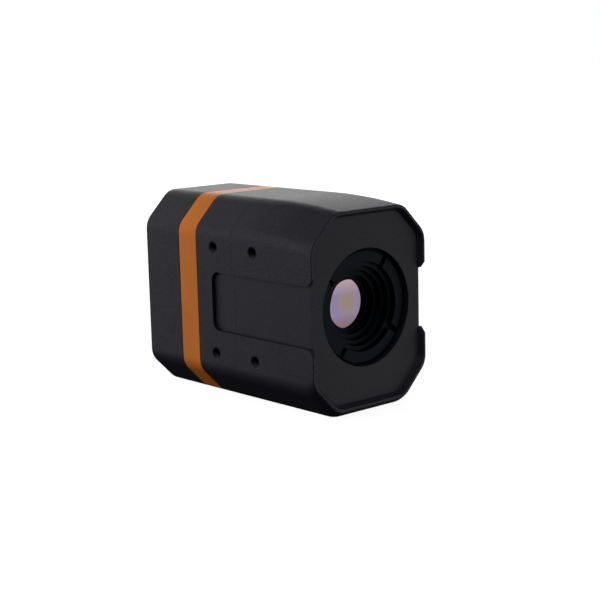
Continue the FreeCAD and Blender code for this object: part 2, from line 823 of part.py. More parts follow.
def interface_parts():
    """Transformer, inductor and two lead connectors on the rear of the interface board."""
    back = interface_depth + board_thickness
    parts = [block(14.0, 7.0, back, back + 5.0, 0, 4.5), block(7.0, 7.0, back, back + 4.0, 0, -4.5)]
    for z in (-socket_spread, socket_spread):
        parts.append(block(12.0, 5.0, back, back + connector_height, 0, z))
    return Part.makeCompound(parts)


def socket_lead(z):
    """Short cable from a socket's tail to its connector on the interface board."""
    plug_front = interface_depth + board_thickness + connector_height
    plug = block(11.0, 4.4, plug_front, plug_front + 3.0, 0, z)
    cable = rod(2.0, plug_front + 2.9, panel_front - socket_tail_length - 0.2, 0, z)
    return plug.fuse(cable).removeSplitter()


def rear_panel():
    """Plate that closes the back, held by six screws."""
    plate = body_prism(panel_front, panel_back, panel_wall + panel_clearance)
    for z in (-socket_spread, socket_spread):
        plate = plate.cut(rod(socket_hole_radius, panel_front - 1, panel_back + 1, 0, z))
    for x in (-light_spread, light_spread):
        plate = plate.cut(rod(light_radius + 0.03, panel_front - 1, panel_back + 1, x, 0))
    for x, z in panel_screw_spots:
        plate = plate.cut(rod(panel_screw_hole, panel_front - 1, panel_back + 1, x, z))
        plate = plate.cut(rod(panel_counterbore, panel_back - panel_counterbore_depth, panel_back + 1, x, z))
    return plate


def rear_panel_gasket():
    start = panel_front - panel_gasket_thickness
    ring = body_prism(start, panel_front, panel_wall + 0.2).cut(cavity(start - 1.0, panel_front + 1.0))
    for x, z in panel_screw_spots:
        ring = ring.cut(rod(panel_screw_hole, start - 1.0, panel_front + 1.0, x, z))
    return ring


def rear_panel_screws():
    seat = panel_back - panel_counterbore_depth
    return cap_screws(panel_screw_spots, panel_screw, panel_front - 4.2, seat)


def socket_shell(z, shell_radius, bore):
    """Panel socket body: a tail through the panel, a flange on it and a round shell behind."""
    tail_front = panel_front - socket_tail_length
    tail_radius = socket_hole_radius - 0.1
    flange_back = panel_back + socket_flange_thickness
    flange_edge = socket_flange_radius - socket_chamfer
    bore_floor = panel_back - 0.2
    profile = [(tail_front, socket_tail_bore), (tail_front, tail_radius), (panel_back, tail_radius),
               (panel_back, flange_edge), (panel_back + socket_chamfer, socket_flange_radius),
               (flange_back - socket_chamfer, socket_flange_radius), (flange_back, flange_edge),
               (flange_back, shell_radius), (total_length - shell_chamfer, shell_radius),
               (total_length, shell_radius - shell_chamfer), (total_length, bore), (bore_floor, bore),
               (bore_floor, socket_tail_bore)]
    return turned(profile, 0, z)


def network_insert():
    """Plastic core of the network socket: a cross-shaped shield slot and eight contact holes."""
    core_back = total_length - 5.2
    core = rod(network_core_radius, insert_front, core_back, 0, socket_spread)
    slot_length = 8.0
    slot_height = 0.5
    slot_floor = 1.2
    for angle in (45, 135):
        corner = Vector(-slot_length / 2, at(core_back - slot_floor), -slot_height / 2)
        slot = Part.makeBox(slot_length, slot_floor + 0.2, slot_height, corner)
        slot.rotate(Vector(0, 0, 0), Vector(0, 1, 0), angle)
        slot.translate(Vector(0, 0, lens_z + socket_spread))
        core = core.cut(slot)
    for quarter in range(4):
        for step in (-1, 1):
            angle = math.radians(90 * quarter + step * 17)
            x = contact_ring_radius * math.cos(angle)
            z = contact_ring_radius * math.sin(angle)
            core = core.cut(rod(contact_radius, core_back - 3.0, core_back + 1.0, x, socket_spread + z))
    return core


def power_insert():
    core_back = panel_back + 1.0
    core = rod(power_core_radius, insert_front, core_back, 0, -socket_spread)
    for x, z in pin_spots():
        core = core.cut(rod(pin_radius, insert_front - 1.0, core_back + 1.0, x, z - socket_spread))
    return core


def pin_spots():
    """Twelve pins: nine on a ring and three inside it."""
    spots = []
    for count, radius in ((9, contact_ring_radius), (3, 1.2)):
        for step in range(count):
            angle = 2 * math.pi * step / count
            spots.append((radius * math.sin(angle), radius * math.cos(angle)))
    return spots


def power_pins():
    pins = []
    for x, z in pin_spots():
        pins.append(rod(pin_radius, insert_front - 0.5, total_length - 4.5, x, z - socket_spread))
    return Part.makeCompound(pins)


def socket_nuts():
    nuts = []
    for z in (-socket_spread, socket_spread):
        nut = hexagon_rod(17.0, panel_front - 3.0, panel_front, 0, z)
        nuts.append(nut.cut(rod(socket_hole_radius - 0.08, panel_front - 4, panel_front + 1, 0, z)))
    return Part.makeCompound(nuts)


def status_lights():
    """Two light pipes that show power and link state."""
    lights = []
    for x in (-light_spread, light_spread):
        pipe = rod(light_radius, panel_front - 1.5, panel_back + 0.25, x, 0)
        dome = rod(light_radius + 0.6, panel_front - 1.5, panel_front, x, 0)
        lights.append(pipe.fuse(dome).removeSplitter())
    return Part.makeCompound(lights)


nodes = {
    "front_housing": front_housing(),
    "middle_housing": middle_housing(),
    "accent_band": accent_band(),
    "rear_housing": rear_housing(),
    "front_gasket": flat_gasket(front_end),
    "band_front_gasket": flat_gasket(middle_end),
    "band_rear_gasket": flat_gasket(band_end),
    "tie_screws": tie_screws(),
    "focus_ring": focus_ring(),
    "focus_ring_seal": focus_ring_seal(),
    "focus_ring_clip": focus_ring_clip(),
    "focus_key_pin": focus_key_pin(),
    "lens_mount": lens_mount(),
    "lens_mount_screws": lens_mount_screws(),
    "lens_cell": lens_cell(),
    "lens_baffle": lens_baffle(),
    "front_lens": front_lens(),
    "rear_lens": rear_lens(),
    "rear_lens_retainer": rear_lens_retainer(),
    "shutter_bracket": shutter_bracket(),
    "shutter_motor": shutter_motor(),
    "shutter_blade": shutter_blade(),
    "sensor_spacers": sensor_spacers(),
    "detector_package": detector_package(),
    "detector_window": detector_window(),
    "sensor_board": sensor_board(),
    "thermal_pad": thermal_pad(),
    "heat_spreader": heat_spreader(),
    "sensor_screws": sensor_screws(),
    "sensor_flex": sensor_flex(),
    "processor_board": circuit_board(processor_depth),
    "processor_chips": processor_chips(),
    "interface_board": circuit_board(interface_depth),
    "interface_parts": interface_parts(),
    "front_standoffs": standoffs(spreader_back, processor_depth),
    "rear_standoffs": standoffs(processor_depth + board_thickness, interface_depth),
    "board_screws": board_screws(),
    "network_lead": socket_lead(socket_spread),
    "power_lead": socket_lead(-socket_spread),
    "rear_panel": rear_panel(),
    "rear_panel_gasket": rear_panel_gasket(),
    "rear_panel_screws": rear_panel_screws(),
    "network_socket": socket_shell(socket_spread, network_shell_radius, network_bore),
    "network_insert": network_insert(),
    "power_socket": socket_shell(-socket_spread, power_shell_radius, power_bore),
    "power_insert": power_insert(),
    "power_pins": power_pins(),
    "socket_nuts": socket_nuts(),
    "status_lights": status_lights(),
}

os.makedirs("parts", exist_ok=True)
for name, shape in nodes.items():
    shape.exportStep("parts/" + name + ".step")
    print(name, len(shape.Solids), "solids, valid", shape.isValid(), round(shape.Volume, 1), "mm3")
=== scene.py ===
import json
import math

import bmesh
import bpy
import numpy as np
from mathutils import Matrix, Vector


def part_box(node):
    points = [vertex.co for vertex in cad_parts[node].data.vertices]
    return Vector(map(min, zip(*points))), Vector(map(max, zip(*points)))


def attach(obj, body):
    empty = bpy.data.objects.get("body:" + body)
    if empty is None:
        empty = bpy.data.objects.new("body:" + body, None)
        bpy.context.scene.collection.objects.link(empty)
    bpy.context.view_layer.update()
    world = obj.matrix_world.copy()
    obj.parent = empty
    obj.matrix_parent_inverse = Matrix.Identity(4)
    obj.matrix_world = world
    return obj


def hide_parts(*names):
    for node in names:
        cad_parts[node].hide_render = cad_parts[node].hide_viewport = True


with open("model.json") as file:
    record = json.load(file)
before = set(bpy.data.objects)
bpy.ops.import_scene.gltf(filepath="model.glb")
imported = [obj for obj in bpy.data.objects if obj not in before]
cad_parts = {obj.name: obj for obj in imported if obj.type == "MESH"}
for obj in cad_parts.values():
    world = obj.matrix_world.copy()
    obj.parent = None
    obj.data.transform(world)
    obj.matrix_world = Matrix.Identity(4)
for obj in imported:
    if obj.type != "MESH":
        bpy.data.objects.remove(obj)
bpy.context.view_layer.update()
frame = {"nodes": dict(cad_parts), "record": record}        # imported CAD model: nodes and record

nodes = frame["nodes"]
mm = 0.001
noiseLow, noiseHigh = 0.3, 0.7      # most of a noise texture's values lie between these

# Places that everything else is measured from
frontLow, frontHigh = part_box("front_housing")
middleLow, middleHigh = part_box("middle_housing")
bandLow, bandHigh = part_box("accent_band")
rearLow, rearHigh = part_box("rear_housing")
frontY = frontLow.y
lensZ = (frontLow.z + frontHigh.z) / 2


def depth(distance):     # y of a distance in mm behind the front rim
    return frontY + distance * mm


def addNode(tree, kind, inputs=None, **settings):
    made = tree.nodes.new(kind)
    for key, value in settings.items():
        setattr(made, key, value)
    for key, value in (inputs or {}).items():
        socket = made.inputs[key]
        if isinstance(value, bpy.types.NodeSocket):
            tree.links.new(value, socket)
        else:
            socket.default_value = value
    return made


def startMaterial(name, shader):
    material = bpy.data.materials.new(name)
    material.use_nodes = True
    tree = material.node_tree
    principled = tree.nodes["Principled BSDF"]
    for key, value in shader.items():
        principled.inputs[key].default_value = value
    place = addNode(tree, "ShaderNodeTexCoord").outputs["Object"]
    return material, tree, principled, place


def noise(tree, place, featureSize, detail=2.0, roughness=0.5):
    # featureSize is the blob size in metres
    inputs = {"Vector": place, "Scale": 1 / featureSize, "Detail": detail, "Roughness": roughness}
    return addNode(tree, "ShaderNodeTexNoise", inputs).outputs["Fac"]


def mapRange(tree, value, low, high, toLow, toHigh):
    inputs = {"Value": value, "From Min": low, "From Max": high, "To Min": toLow, "To Max": toHigh}
    return addNode(tree, "ShaderNodeMapRange", inputs).outputs["Result"]


def calc(tree, operation, first, second=0.0):
    return addNode(tree, "ShaderNodeMath", {0: first, 1: second}, operation=operation).outputs[0]


def ramp(tree, factor, stops):
    made = addNode(tree, "ShaderNodeValToRGB", {"Fac": factor})
    elements = made.color_ramp.elements
    while len(elements) < len(stops):
        elements.new(0.5)
    for element, (position, colour) in zip(elements, stops):
        element.position = position
        element.color = (*colour, 1)
    return made.outputs["Color"]


def mixColour(tree, factor, first, second):
    made = addNode(tree, "ShaderNodeMix", {"Factor": factor}, data_type="RGBA")
    for socket, value in ((made.inputs[6], first), (made.inputs[7], second)):
        if isinstance(value, bpy.types.NodeSocket):
            tree.links.new(value, socket)
        else:
            socket.default_value = (*value, 1)
    return made.outputs[2]


def bump(tree, height, distance):
    return addNode(tree, "ShaderNodeBump", {"Height": height, "Distance": distance}).outputs["Normal"]


def scaled(colour, factor):
    return tuple(c * factor for c in colour)


def axisParts(tree, place, x=0.0):
    # about a line along Y at the lens's height: the distance from it, y, and the height above it
    parts = addNode(tree, "ShaderNodeSeparateXYZ", {"Vector": place})
    across = calc(tree, "SUBTRACT", parts.outputs["X"], x)
    up = calc(tree, "SUBTRACT", parts.outputs["Z"], lensZ)
    square = calc(tree, "ADD", calc(tree, "MULTIPLY", across, across), calc(tree, "MULTIPLY", up, up))
    return {"radius": calc(tree, "SQRT", square), "along": parts.outputs["Y"], "up": up}


coatLook = {
    "colour": (0.0175, 0.0160, 0.0265),
    "grain": 0.44 * mm,          # size of the speckle
    "grainContrast": 0.22,
    "glint": 0.20,               # how far the speckle changes the sheen
    "cloud": 14 * mm,            # slow change of tone
    "roughness": (0.44, 0.58),
    "bumpHeight": 0.032 * mm,
    "specular": 0.28,
    "wear": 0.35,                # how much of the worn tone shows along the edges
    "wornTone": 3.2,
    "wearWidth": 0.22 * mm,
}


def makeCoat(name, look, edges):
    # powder coat: fine speckle, slow clouds, orange-peel bump, lighter along the ring edges at the given y
    material, tree, shader, place = startMaterial(name, {})
    grain = noise(tree, place, look["grain"], 3.0, 0.65)
    pores = noise(tree, place, look["grain"] * 2.6, 2.0, 0.5)
    cloud = noise(tree, place, look["cloud"], 2.0, 0.5)
    contrast = look["grainContrast"]
    dark = scaled(look["colour"], 1 - contrast)
    light = scaled(look["colour"], 1 + contrast)
    colour = ramp(tree, grain, [(0.32, dark), (0.5, look["colour"]), (0.68, light)])
    clouded = mapRange(tree, cloud, noiseLow, noiseHigh, 0.94, 1.06)
    toned = addNode(tree, "ShaderNodeVectorMath", {0: colour, "Scale": clouded}, operation="SCALE")
    colour = toned.outputs[0]
    along = addNode(tree, "ShaderNodeSeparateXYZ", {"Vector": place}).outputs["Y"]
    near = look["wearWidth"]
    for edge in edges:
        gap = calc(tree, "ABSOLUTE", calc(tree, "SUBTRACT", along, edge))
        near = calc(tree, "MINIMUM", gap, near)
    worn = mapRange(tree, near, look["wearWidth"], 0.0, 0.0, look["wear"])
    worn = calc(tree, "MULTIPLY", worn, mapRange(tree, pores, 0.42, 0.62, 0.2, 1.0))
    colour = mixColour(tree, worn, colour, scaled(look["colour"], look["wornTone"]))
    tree.links.new(colour, shader.inputs["Base Color"])
    low, high = look["roughness"]
    tree.links.new(mapRange(tree, grain, noiseLow, noiseHigh, high, low), shader.inputs["Roughness"])
    dull = look["specular"] * (1 - look["glint"])
    bright = look["specular"] * (1 + look["glint"])
    tree.links.new(mapRange(tree, grain, 0.36, 0.64, dull, bright), shader.inputs["Specular IOR Level"])
    height = calc(tree, "ADD", calc(tree, "MULTIPLY", grain, 0.6), calc(tree, "MULTIPLY", pores, 0.4))
    tree.links.new(bump(tree, height, look["bumpHeight"]), shader.inputs["Normal"])
    return material


orangeLook = {
    **coatLook,
    "colour": (0.80, 0.225, 0.022),
    "grainContrast": 0.05,
    "glint": 0.12,
    "roughness": (0.40, 0.50),
    "bumpHeight": 0.012 * mm,
    "specular": 0.16,
    "wear": 0.25,
    "wornTone": 1.15,
}

anodisedLook = {
    "colour": (0.0036, 0.0048, 0.0080),
    "tint": (0.72, 0.85, 1.0, 1.0),
    "roughness": (0.34, 0.46),
    "turning": 0.10 * mm,        # spacing of the tool marks
    "smudge": 2.4 * mm,
    "contrast": 0.18,
    "bumpHeight": 0.006 * mm,
    "specular": 0.080,
}


def makeTurned(name, look):
    # turned metal: tool marks are noise on (radius, y) about the lens axis, so they run round it
    sheen = {"Specular IOR Level": look["specular"], "Specular Tint": look["tint"]}
    material, tree, shader, place = startMaterial(name, sheen)
    axis = axisParts(tree, place)
    ringPlace = addNode(tree, "ShaderNodeCombineXYZ", {"X": axis["radius"], "Y": axis["along"]}).outputs[0]
    marks = noise(tree, ringPlace, look["turning"], 3.0, 0.7)
    smudge = noise(tree, place, look["smudge"], 3.0, 0.55)
    dark = scaled(look["colour"], 1 - look["contrast"])
    light = scaled(look["colour"], 1 + look["contrast"])
    colour = ramp(tree, marks, [(noiseLow, dark), (noiseHigh, light)])
    smeared = mapRange(tree, smudge, 0.35, 0.75, 0.0, 0.25)
    colour = mixColour(tree, smeared, colour, scaled(look["colour"], 1.5))
    tree.links.new(colour, shader.inputs["Base Color"])
    low, high = look["roughness"]
    smooth = mapRange(tree, marks, noiseLow, noiseHigh, low, high)
    rough = calc(tree, "ADD", smooth, mapRange(tree, smudge, noiseLow, noiseHigh, -0.04, 0.04))
    tree.links.new(rough, shader.inputs["Roughness"])
    tree.links.new(bump(tree, marks, look["bumpHeight"]), shader.inputs["Normal"])
    return material


lensLook = {
    "radius": 8.6 * mm,
    "patternX": 1.8 * mm,           # the colours are centred a little beside the axis
    "centre": (0.44, 0.350, 0.235),
    "middle": (0.42, 0.335, 0.400),
    "outer": (0.35, 0.310, 0.560),
    "edge": (0.40, 0.330, 0.500),
    # painted light: the paler top colour is painted reflection of the light above, the browner bottom colour
    # is painted shade
    "top": (0.74, 0.54, 0.52),      # paler towards the top, browner towards the bottom
    "bottom": (0.36, 0.200, 0.180),
    "glancing": (0.52, 0.42, 0.50),
    "drift": 6 * mm,                # size of the slow unevenness in the colours
    "dust": 0.5 * mm,
    "roughness": 0.07,
    "dusty": 0.16,                  # roughness of the dusty spots
}


def makeLensCoating(name, look):
    # coating colours, partly the coating's interference tint and partly painted reflection of the studio:
    # straw in the middle and violet further out; paler above is painted reflection of the light overhead,
    # browner below is painted shade
    material, tree, shader, place = startMaterial(name, {"Metallic": 1.0, "Roughness": look["roughness"]})
    axis = axisParts(tree, place, look["patternX"])
    share = calc(tree, "DIVIDE", axis["radius"], look["radius"])
    drift = noise(tree, place, look["drift"], 1.0, 0.4)
    share = calc(tree, "ADD", share, mapRange(tree, drift, noiseLow, noiseHigh, -0.06, 0.06))
    colour = ramp(tree, share, [(0.12, look["centre"]), (0.50, look["middle"]), (0.85, look["outer"]),
                                (1.2, look["edge"])])
    height = calc(tree, "DIVIDE", axis["up"], look["radius"])
    # painted reflection: paler towards the top
    colour = mixColour(tree, mapRange(tree, height, 0.35, 0.95, 0.0, 0.85), colour, look["top"])
    # painted shade: browner towards the bottom
    colour = mixColour(tree, mapRange(tree, height, -0.45, -0.95, 0.0, 0.85), colour, look["bottom"])
    facing = addNode(tree, "ShaderNodeLayerWeight", {"Blend": 0.3}).outputs["Facing"]
    colour = mixColour(tree, mapRange(tree, facing, 0.2, 0.9, 0.0, 0.12), colour, look["glancing"])
    tree.links.new(colour, shader.inputs["Base Color"])
    dust = noise(tree, place, look["dust"], 2.0, 0.6)
    rough = mapRange(tree, dust, 0.60, 0.75, look["roughness"], look["dusty"])
    tree.links.new(rough, shader.inputs["Roughness"])
    return material


def makeRubber(name, colour):
    material, tree, shader, place = startMaterial(name, {"Specular IOR Level": 0.3})
    grain = noise(tree, place, 0.25 * mm, 3.0, 0.6)
    tree.links.new(ramp(tree, grain, [(noiseLow, scaled(colour, 0.8)), (noiseHigh, scaled(colour, 1.3))]),
                   shader.inputs["Base Color"])
    tree.links.new(mapRange(tree, grain, noiseLow, noiseHigh, 0.7, 0.85), shader.inputs["Roughness"])
    tree.links.new(bump(tree, grain, 0.02 * mm), shader.inputs["Normal"])
    return material


def makeMetal(name, colour, roughness, grainStretch=(1, 12, 1), grain=0.2 * mm):
    # drawn or milled metal: noise stretched along one direction
    material, tree, shader, place = startMaterial(name, {"Metallic": 1.0})
    scale = tuple(1 / stretch for stretch in grainStretch)
    stretched = addNode(tree, "ShaderNodeMapping", {"Vector": place, "Scale": scale}).outputs[0]
    brushed = noise(tree, stretched, grain, 3.0, 0.65)
    stain = noise(tree, place, 3 * mm, 3.0, 0.5)
    tone = mixColour(tree, mapRange(tree, stain, 0.4, 0.75, 0.0, 0.35), colour, scaled(colour, 0.72))
    streaks = mapRange(tree, brushed, noiseLow, noiseHigh, 0.0, 0.25)
    tone = mixColour(tree, streaks, tone, scaled(colour, 0.8))
    tree.links.new(tone, shader.inputs["Base Color"])
    rough = mapRange(tree, brushed, noiseLow, noiseHigh, roughness * 0.8, roughness * 1.25)
    tree.links.new(rough, shader.inputs["Roughness"])
    tree.links.new(bump(tree, brushed, 0.004 * mm), shader.inputs["Normal"])
    return material


def makePlastic(name, colour, roughness, grain=0.3 * mm, height=0.01 * mm):
    material, tree, shader, place = startMaterial(name, {"Specular IOR Level": 0.5})
    fine = noise(tree, place, grain, 3.0, 0.6)
    slow = noise(tree, place, 4 * mm, 2.0, 0.5)
    tone = ramp(tree, slow, [(noiseLow, scaled(colour, 0.85)), (noiseHigh, scaled(colour, 1.15))])
    tree.links.new(tone, shader.inputs["Base Color"])
    rough = mapRange(tree, fine, noiseLow, noiseHigh, roughness * 0.85, roughness * 1.2)
    tree.links.new(rough, shader.inputs["Roughness"])
    tree.links.new(bump(tree, fine, height), shader.inputs["Normal"])
    return material


boardLook = {
    "mask": (0.007, 0.10, 0.04),
    "fills": ((0.006, 0.085, 0.035, 1), (0.01, 0.13, 0.055, 1)),
    "tracks": (0.02, 0.22, 0.09, 1),
    "cells": 260.0, "trackScale": 420.0, "trackWidth": 0.06,
    "trackHeight": 0.02 * mm,
}


def makeCircuitBoard(name, look):
    # solder mask over copper: cells of slightly different green are the fills, brick joints the tracks
    material, tree, shader, place = startMaterial(name, {"Coat Weight": 0.3})
    flat = addNode(tree, "ShaderNodeMapping", {"Vector": place, "Scale": (1, 0, 1)}).outputs[0]
    cells = addNode(tree, "ShaderNodeTexVoronoi", {"Vector": flat, "Scale": look["cells"]},
                    feature="F1", distance="CHEBYCHEV")
    bricks = {"Vector": flat, "Scale": look["trackScale"], "Mortar Size": look["trackWidth"],
              "Color1": look["fills"][0], "Color2": look["fills"][1], "Mortar": look["tracks"]}
    tracks = addNode(tree, "ShaderNodeTexBrick", bricks)
    share = mapRange(tree, cells.outputs["Distance"], 0.2, 0.6, 0.2, 0.8)
    tone = mixColour(tree, share, tracks.outputs["Color"], look["mask"])
    tree.links.new(tone, shader.inputs["Base Color"])
    weave = noise(tree, place, 0.4 * mm, 2.0, 0.5)
    tree.links.new(mapRange(tree, weave, noiseLow, noiseHigh, 0.24, 0.38), shader.inputs["Roughness"])
    tree.links.new(bump(tree, tracks.outputs["Fac"], look["trackHeight"]), shader.inputs["Normal"])
    return material


ringEdges = [frontY, middleLow.y, frontHigh.y, middleHigh.y, rearLow.y, rearHigh.y]
bandEdges = [bandLow.y, bandHigh.y]
finishes = {
    "housing_coat": makeCoat("housingCoat", coatLook, ringEdges),
    "orange_band": makeCoat("orangeCoat", orangeLook, bandEdges),
    "gasket_rubber": makeRubber("gasketRubber", (0.008, 0.008, 0.009)),
    "black_anodised": makeTurned("blackAnodised", anodisedLook),
    "lens_coating": makeLensCoating("lensCoating", lensLook),
    "bare_aluminium": makeMetal("milledAluminium", (0.72, 0.73, 0.74), 0.32, (12, 1, 1)),
    "screw_steel": makeMetal("screwSteel", (0.58, 0.57, 0.55), 0.28),
    "black_screw_steel": makeMetal("blackScrewSteel", (0.045, 0.045, 0.048), 0.4),
    "spring_steel": makeMetal("springSteel", (0.36, 0.37, 0.40), 0.25),
    "shutter_metal": makePlastic("shutterBlack", (0.02, 0.02, 0.022), 0.7),
    "motor_can": makeMetal("motorCan", (0.52, 0.52, 0.51), 0.22),
    "detector_ceramic": makePlastic("detectorCeramic", (0.16, 0.13, 0.11), 0.5),
    "detector_glass": makeMetal("detectorWindow", (0.22, 0.20, 0.26), 0.08),
    "circuit_board": makeCircuitBoard("circuitBoard", boardLook),
    "chip_plastic": makePlastic("chipEpoxy", (0.018, 0.018, 0.02), 0.5),
    "thermal_pad": makeRubber("thermalPad", (0.30, 0.38, 0.46)),
    "flex_polyimide": makePlastic("flexFilm", (0.50, 0.22, 0.03), 0.25),
    "brass": makeMetal("turnedBrass", (0.72, 0.50, 0.22), 0.25),
    "lead_jacket": makePlastic("leadJacket", (0.02, 0.02, 0.02), 0.55),
    "socket_nickel": makeMetal("socketNickel", (0.62, 0.60, 0.55), 0.24),
    "insert_plastic": makePlastic("insertPlastic", (0.014, 0.014, 0.015), 0.45),
    "gold_contact": makeMetal("goldContact", (0.86, 0.60, 0.24), 0.2),
    "light_pipe": makePlastic("lightPipe", (0.55, 0.66, 0.58), 0.2),
}
print("finishes made:", len(finishes))

slotOf = {part["node"]: part["material_slot"] for part in frame["record"]["subparts"]}
for nodeName, nodeObject in nodes.items():
    nodeObject.data.materials.clear()
    nodeObject.data.materials.append(finishes[slotOf[nodeName]])
print("CAD nodes painted:", len(nodes))


def gridMesh(name, points, closeU=False, closeV=False):
    # points is an array (u, v, 3); quads join neighbours, and a closed direction wraps round
    countU, countV = points.shape[:2]
    index = np.arange(countU * countV).reshape(countU, countV)
    if closeU:
        index = np.concatenate([index, index[:1]], axis=0)
    if closeV:
        index = np.concatenate([index, index[:, :1]], axis=1)
    corners = [index[:-1, :-1], index[1:, :-1], index[1:, 1:], index[:-1, 1:]]
    quads = np.stack(corners, axis=-1).reshape(-1, 4)
    mesh = bpy.data.meshes.new(name)
    mesh.from_pydata(points.reshape(-1, 3), [], quads.tolist())
    piece = bpy.data.objects.new(name, mesh)
    bpy.context.scene.collection.objects.link(piece)
    return piece


def turnedPiece(name, profile, steps=192, z=0.0, threadHeight=None, pitch=1.0):
    # a closed (depth, radius) outline in mm turned about a line along Y, z above the lens axis:
    # x = r cos a, z = z0 + r sin a, y = front + depth.
    # a thread adds its height times a wave of (depth / pitch - a / 2 pi) to each point's radius
    outline = np.array(profile, float)
    angle = np.linspace(0, 2 * np.pi, steps, endpoint=False)[:, None]
    radius = np.repeat(outline[None, :, 1], steps, axis=0)
    if threadHeight is not None:
        turn = outline[None, :, 0] / pitch - angle / (2 * np.pi)
        flank, flat = 3.0, 1.25      # steepness of the flanks, and how far they'd cross beyond the crest
        wave = np.clip(flat - flank * np.abs(turn - np.floor(turn) - 0.5), 0, 1)
        radius = radius + np.array(threadHeight)[None, :] * wave
    points = np.stack([radius * np.cos(angle) * mm,
                       np.broadcast_to(frontY + outline[:, 0] * mm, radius.shape),
                       lensZ + z * mm + radius * np.sin(angle) * mm], axis=-1)
    return gridMesh(name, points, closeU=True, closeV=True)


def tidyMesh(piece, smoothAngle):
    # merges doubles, turns faces outwards and smooths the angles, in degrees, below smoothAngle
    mergeDistance = 0.001 * mm
    mesh = piece.data
    work = bmesh.new()
    work.from_mesh(mesh)
    bmesh.ops.remove_doubles(work, verts=work.verts, dist=mergeDistance)
    bmesh.ops.recalc_face_normals(work, faces=work.faces)
    work.to_mesh(mesh)
    work.free()
    mesh.polygons.foreach_set("use_smooth", np.ones(len(mesh.polygons), bool))
    mesh.set_sharp_from_angle(angle=math.radians(smoothAngle))
    return piece


def finishPiece(piece, slot, body, replaced=()):
    piece.data.materials.clear()
    piece.data.materials.append(finishes[slot])
    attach(piece, body)
    if replaced:
        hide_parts(*replaced)
    return piece


def spherePoints(vertex, curve, radii):
    # (depth, radius) points of a lens face: depth = vertex + curve -+ sqrt(curve^2 - r^2)
    radii = np.array(radii, float)
    sag = curve - np.copysign(np.sqrt(curve ** 2 - radii ** 2), curve)
    return list(zip(vertex + sag, radii))


def groovedWall(start, end, radius, pitch, height):
    # (depth, radius) zigzag along a bore: small saw teeth that open it by their height
    count = max(int(round(abs(end - start) / pitch)), 1)
    edges = np.linspace(start, end, 2 * count + 1)
    teeth = np.where(np.arange(2 * count + 1) % 2, radius + height, radius)
    return list(zip(edges, teeth))


lensShape = {"vertex": 14.0, "curve": -60.0, "seat": 9.55, "rim": 10.5, "rimBack": 17.55,
             "rearVertex": 18.3, "rearCurve": -45.0, "rearEdge": 7.55, "edgeBreak": 0.12, "smooth": 20}


def makeFrontLens(look):
    # two spherical faces joined by a ground rim with a small chamfer
    front = spherePoints(look["vertex"], look["curve"], np.linspace(0, look["seat"], 40))
    back = spherePoints(look["rearVertex"], look["rearCurve"], np.linspace(look["rearEdge"], 0, 30))
    seatDepth = front[-1][0]
    cut = look["edgeBreak"]
    rim = [(seatDepth, look["rim"] - cut), (seatDepth + cut, look["rim"]),
           (look["rimBack"] - cut, look["rim"]), (look["rimBack"], look["rim"] - cut),
           (look["rimBack"], look["rearEdge"])]
    piece = tidyMesh(turnedPiece("frontLens", front + rim + back), look["smooth"])
    return finishPiece(piece, "lens_coating", "lens_cell_body", ["front_lens"])


baffleShape = {
    "outer": 14.24, "front": 7.6, "back": 13.12,
    # from, to, radius
    "steps": ((7.6, 9.5, 12.5), (9.5, 11.2, 10.6), (11.2, 12.0, 9.8), (12.0, 12.7, 8.75)),
    "relief": (13.02, 9.5),
    "edge": 0.10, "outerEdge": 0.20, "pitch": 0.30, "tooth": 0.07, "gap": 0.02,
    "smooth": 15,
}


def makeBaffle(look):
    # stepped funnel: each step has a broken edge and fine saw-tooth rings on its wall
    inside = []
    for start, end, radius in look["steps"]:
        inside.append((start, radius + look["edge"]))
        inside.append((start + look["edge"], radius))
        grooves = start + 2 * look["edge"], end - look["gap"]
        inside += groovedWall(*grooves, radius, look["pitch"], look["tooth"])
    relief = look["relief"]
    outline = inside + [relief, (look["back"], relief[1]), (look["back"], look["outer"]),
                        (look["front"] + look["outerEdge"], look["outer"]),
                        (look["front"], look["outer"] - look["outerEdge"])]
    piece = tidyMesh(turnedPiece("lensBaffle", outline), look["smooth"])
    return finishPiece(piece, "black_anodised", "lens_cell_body", ["lens_baffle"])


socketShape = {
    "tailFront": 85.2, "tailRadius": 6.5, "tailBore": 4.6,
    "panel": 93.2, "flange": 2.2, "flangeRadius": 8.4, "chamfer": 0.3,
    "end": 102.7, "shellChamfer": 0.4, "boreFloor": 93.0,
    "mouthEdge": 0.15,
    "pitch": 1.0, "samples": 12, "runOut": 0.5,                   # points per turn, turns at each end
    "steps": 144, "smooth": 25,
}
networkShape = {"z": 15.0, "shell": 7.2, "bore": 5.6,
                "thread": (97.0, 102.4), "height": 0.4, "inside": True}
powerShape = {"z": -15.0, "shell": 6.0, "bore": 4.9,
              "thread": (96.0, 102.25), "height": -0.55, "inside": False}


